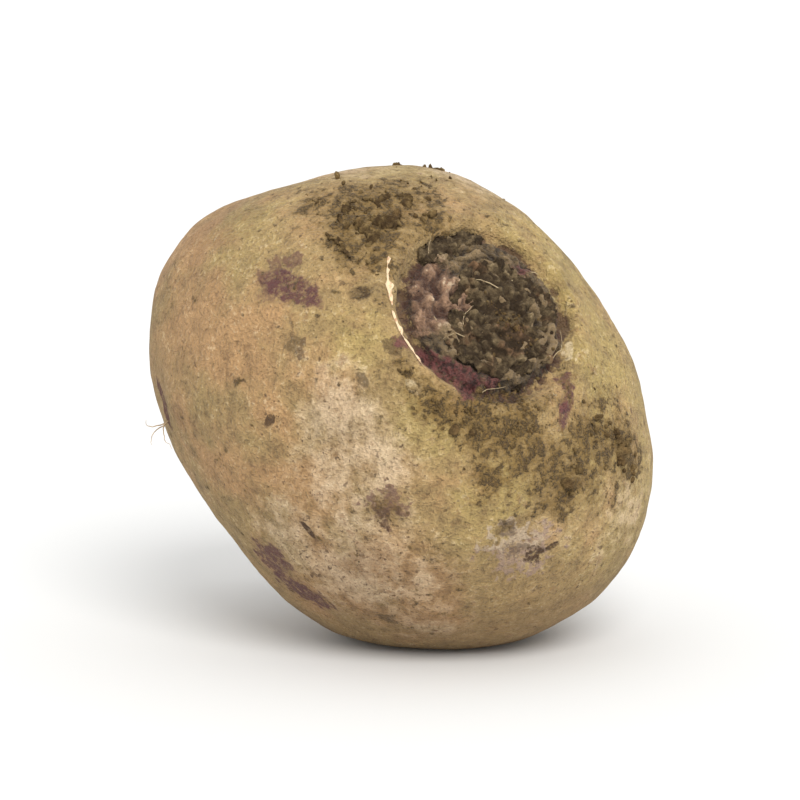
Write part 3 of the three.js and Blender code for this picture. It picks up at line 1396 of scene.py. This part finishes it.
@dataclass
class Trimmings:
    """The thin dry things on the root: torn papery skin at the crown, leaf fibres and root hairs."""

    skin: Skin
    stretches: int = 18  # of torn skin, from one place to the next
    across: int = 4  # how many times torn skin is divided across
    paper: float = 0.12 * MM  # how thick torn skin is
    clear: float = 0.06 * MM  # how far it stays off the root
    sway: float = 0.28  # how much threads change direction
    seed: int = 7

    def torn_skin(
        self, name: str, line: list[Place], width: float, lift: float, finish: bpy.types.Material
    ) -> bpy.types.Object:
        """A strip of papery skin that has come away along a line on the root.

        Args:
            name: The piece's name.
            line: The places that it runs through.
            width: How wide it is.
            lift: How far its free edge stands up.
            finish: Its material.

        Returns:
            The piece.
        """
        chance = random.Random(self.seed)
        steps = self.stretches * (len(line) - 1)
        surface = bmesh.new()
        bmesh.ops.create_grid(surface, x_segments=steps, y_segments=self.across, size=0.5)
        for vert in surface.verts:
            along = (vert.co.x + 0.5) * (len(line) - 1)
            start = min(int(along), len(line) - 2)
            share = along - start
            aside = vert.co.y + 0.5
            first, second = line[start], line[start + 1]
            place = Place(
                first.round + (second.round - first.round) * share,
                first.down + (second.down - first.down) * share,
            )
            point, normal = self.skin.at(place)
            inwards = -self.skin.lengthwise(place, normal, 0)
            taper = math.sin(math.pi * (vert.co.x + 0.5)) ** 0.5
            ragged = max(0.7 + 1.3 * noise.noise(point / (1.4 * MM)) + chance.uniform(-0.1, 0.1), 0.08)
            beside = inwards * width * (aside - 0.3) * taper * ragged
            rise = lift * taper * ragged * aside**1.5
            vert.co = self.skin.below(point + beside, normal) + normal * (self.clear + rise)
        piece = new_object(name, surface)
        thicken = piece.modifiers.new("thickness", "SOLIDIFY")
        thicken.thickness = self.paper
        thicken.offset = 1
        apply_modifiers(piece)
        piece.data.materials.append(finish)
        return piece

    def threads(
        self, name: str, paths: list[list[Vector]], radius: float, finish: bpy.types.Material
    ) -> bpy.types.Object:
        """Fine tapering threads as one piece.

        Args:
            name: The piece's name.
            paths: The points that each thread passes through, from its root.
            radius: The threads' radius at their roots.
            finish: Their material.

        Returns:
            The piece.
        """
        curve = bpy.data.curves.new(name, "CURVE")
        curve.dimensions = "3D"
        curve.bevel_depth = radius
        curve.bevel_resolution = 1
        curve.use_fill_caps = True
        for path in paths:
            spline = curve.splines.new("POLY")
            spline.points.add(len(path) - 1)
            for number, point in enumerate(path):
                spline.points[number].co = (*point, 1)
                spline.points[number].radius = 1 - 0.75 * number / (len(path) - 1)
        drawn = placed(name + "_line", curve)
        evaluated = drawn.evaluated_get(bpy.context.evaluated_depsgraph_get())
        mesh = bpy.data.meshes.new_from_object(evaluated)
        mesh.name = name
        bpy.data.objects.remove(drawn)
        mesh.shade_smooth()
        mesh.materials.clear()
        mesh.materials.append(finish)
        return placed(name, mesh)

    def wandering(
        self, chance: random.Random, place: Place, length: float, rise: float, steps: int = 9
    ) -> list[Vector]:
        """The points of a thread that leaves the skin at a place and wanders over it.

        Args:
            chance: Where its turns come from.
            place: Where it starts.
            length: How long it is.
            rise: How steeply it stands up, from 0 along the skin to 1 straight out.
            steps: How many stretches it has.

        Returns:
            Its points.
        """
        point, normal = self.skin.at(place)
        heading = self.skin.lengthwise(place, normal, chance.uniform(0, 360))
        heading = (heading * (1 - rise) + normal * rise).normalized()
        path = [point - normal * 0.1 * MM]
        for _ in range(steps):
            sway = Vector((chance.gauss(0, 1), chance.gauss(0, 1), chance.gauss(0, 1)))
            heading = (heading + sway * self.sway - normal * 0.12 * rise).normalized()
            path.append(path[-1] + heading * length / steps)
        return path


@dataclass(frozen=True)
class DryFinish:
    """Thin dry plant stuff, such as torn skin, leaf fibres and root hairs."""

    name: str
    base: tuple
    shadow: tuple

    def build(self) -> bpy.types.Material:
        """Makes the material.

        Returns:
            The material.
        """
        finish = Finish(self.name, Roughness=0.7, Sheen_Weight=0.2)
        mottled = finish.noise(0.9 * MM, 3.0, 0.6)
        finish.feed("Base Color", finish.mix(self.base, self.shadow, mottled.eased(-0.05, 0.2)))
        finish.feed("Normal", finish.bump(finish.noise(0.3 * MM, 2.0), 0.1 * MM))
        return finish.material


# ---------------------------------------------------------------- the studio


@dataclass(frozen=True)
class Studio:
    """A white floor under soft light, and a camera that looks at the object a little from above."""

    elevation: float = 10.0
    lens: float = 180.0
    share: float = 0.63  # of the picture's width that the object takes
    floor_size: float = 30.0
    floor_grey: tuple = (0.72, 0.72, 0.71, 1)
    room_strength: float = 1.05
    sun_towards: tuple = (0.3, -1.1, 0.95)
    sun_width: float = 30.0  # in degrees, as seen from the object
    sun_strength: float = 2.3

    def build(self) -> None:
        """Makes the floor, the lights and the camera."""
        low, high = CAD_BOX
        middle = (low + high) / 2
        self._camera(middle, high.x - low.x)
        self._floor()
        self._sun()
        world = bpy.data.worlds.new("white_room")
        world.use_nodes = True
        background = world.node_tree.nodes["Background"]
        background.inputs["Color"].default_value = (1, 1, 1, 1)
        background.inputs["Strength"].default_value = self.room_strength
        bpy.context.scene.world = world
        bpy.context.scene.view_settings.view_transform = "Standard"

    def _camera(self, middle: Vector, width: float) -> None:
        """Sets the camera far enough off for the object to take its share of the picture.

        Args:
            middle: The middle of the object's box.
            width: How wide the box is.
        """
        data = bpy.data.cameras.new("camera")
        data.lens = self.lens
        distance = width / self.share * self.lens / data.sensor_width
        lifted = math.radians(self.elevation)
        camera = placed("camera", data)
        camera.location = middle + distance * Vector((0, -math.cos(lifted), math.sin(lifted)))
        camera.rotation_euler = (math.pi / 2 - lifted, 0, 0)
        bpy.context.scene.camera = camera

    def _floor(self) -> None:
        """A wide plain floor at the height that the object rests on."""
        surface = bmesh.new()
        bmesh.ops.create_grid(surface, x_segments=1, y_segments=1, size=self.floor_size)
        floor = new_object("floor", surface)
        finish = Finish("white_floor", Base_Color=self.floor_grey, Roughness=0.9)
        floor.data.materials.append(finish.material)

    def _sun(self) -> None:
        """A soft light that shines evenly from one direction."""
        data = bpy.data.lights.new("key_light", "SUN")
        data.angle = math.radians(self.sun_width)
        data.energy = self.sun_strength
        lamp = placed("key_light", data)
        lamp.location = Vector(self.sun_towards)
        lamp.rotation_euler = lamp.location.to_track_quat("Z", "Y").to_euler()


# ---------------------------------------------------------------- putting it together


def settle(piece: bpy.types.Object, slot: str, *stands_for: str) -> None:
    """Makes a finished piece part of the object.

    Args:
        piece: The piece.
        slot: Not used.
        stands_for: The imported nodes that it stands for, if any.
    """
    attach(piece, "root")
    if stands_for:
        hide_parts(*stands_for)
    log.info("%s: %d faces", piece.name, len(piece.data.polygons))


def lay_soil(skin: Skin) -> None:
    """Lays the cakes, crumbs, grains and lumps of soil on the root.

    Args:
        skin: The root's surface.
    """
    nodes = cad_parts
    # each soil's dark colour is painted shade in its cracks, and its light colour a painted highlight on its
    # clods
    damp = SoilFinish(
        "damp_soil",
        dark=linear(58, 45, 30),
        middle=linear(140, 120, 88),
        light=linear(190, 170, 130),
        rust=linear(142, 98, 70),
    ).build()
    dry = SoilFinish(
        "dry_soil",
        dark=linear(72, 54, 31),
        middle=linear(146, 121, 77),
        light=linear(200, 178, 130),
        rust=linear(140, 108, 66),
    ).build()
    soil = Soil(skin, damp)
    settle(soil.cake(nodes["crown_soil"], 2.8 * MM, 1.2 * MM, -0.35), "dried_soil", "crown_soil")
    settle(soil.cake(nodes["crown_rim_soil"], 2.4 * MM, 0.9 * MM, -0.1), "dried_soil", "crown_rim_soil")
    soil = Soil(skin, dry)
    settle(soil.cake(nodes["shoulder_soil"], 2.2 * MM, 0.9 * MM, 0.18), "dried_soil", "shoulder_soil")
    for name in sorted(node for node in nodes if node.startswith("soil_crumb")):
        settle(soil.crumb(nodes[name]), "dried_soil", name)
    grainy = SOILED.patches[:GRAINY_PATCHES]
    grains = [(patch.place, patch.spread, int(GRAINS * patch.strength)) for patch in grainy]
    grains += [(Place(180, 8), 16, 120), (Place(-50, 61), 10, 14)]
    settle(soil.grains("soil_grains", grains, 0.25 * MM, 1.0 * MM), "dried_soil")
    lumps = [(Place(186, 48), 6, 16), (Place(186, 55), 4, 6), (Place(178, 40), 7, 12)]
    lumps += [(Place(160, 45), 6, 7), (Place(-10, 44), 10, 8), (Place(-20, 28), 6, 8)]
    lumps += [(Place(140, 31), 6, 6), (Place(105, 29), 5, 4)]
    settle(soil.grains("soil_lumps", lumps, 0.9 * MM, 2.4 * MM, 2), "dried_soil")


def trim(skin: Skin) -> None:
    """Lays the torn skin, leaf fibres and root hairs on the root.

    Args:
        skin: The root's surface.
    """
    trimmings = Trimmings(skin)
    papery = DryFinish("papery_skin", linear(224, 196, 158), linear(186, 142, 104)).build()
    straw = DryFinish("dry_fibre", linear(186, 164, 124), linear(112, 88, 60)).build()
    hair = DryFinish("root_hair", linear(176, 150, 112), linear(110, 80, 56)).build()
    wide = [Place(14, 27.5), Place(28, 26.2), Place(44, 25.2)]
    settle(trimmings.torn_skin("torn_skin_wide", wide, 1.2 * MM, 0.6 * MM, papery), "beetroot_skin")
    narrow = [Place(47, 25.4), Place(62, 25), Place(74, 24.6), Place(86, 25)]
    settle(trimmings.torn_skin("torn_skin_narrow", narrow, 0.5 * MM, 0.5 * MM, papery), "beetroot_skin")

    chance = random.Random(17)
    fibres = []
    for _ in range(12):
        place = Place(chance.uniform(0, 360), chance.uniform(4, 25))
        fibres.append(trimmings.wandering(chance, place, chance.uniform(3, 8) * MM, 0.25))
    settle(trimmings.threads("crown_fibres", fibres, 0.1 * MM, straw), "beetroot_skin")
    hairs = []
    for _ in range(40):
        place = Place(270 + chance.gauss(0, 10), chance.uniform(125, 176))
        hairs.append(trimmings.wandering(chance, place, chance.uniform(4, 12) * MM, 0.5))
    for _ in range(3):
        hairs.append(trimmings.wandering(chance, Place(44, 104), chance.uniform(6, 10) * MM, 0.6))
    settle(trimmings.threads("root_hairs", hairs, 0.14 * MM, hair), "beetroot_skin")


def main() -> None:
    """Builds the beetroot's pieces in order, and the studio round them."""
    logging.basicConfig(level=logging.INFO, format="%(name)s %(message)s")
    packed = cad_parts["beetroot"]
    root_frame = RootFrame(packed)
    body = Root(root_frame).build(packed)
    skin = Skin(root_frame, body)
    body.data.materials.clear()
    body.data.materials.append(SkinFinish().build(skin))
    settle(body, "beetroot_skin", "beetroot")
    lay_soil(skin)
    trim(skin)

    Studio().build()


if __name__ == "__main__":
    main()
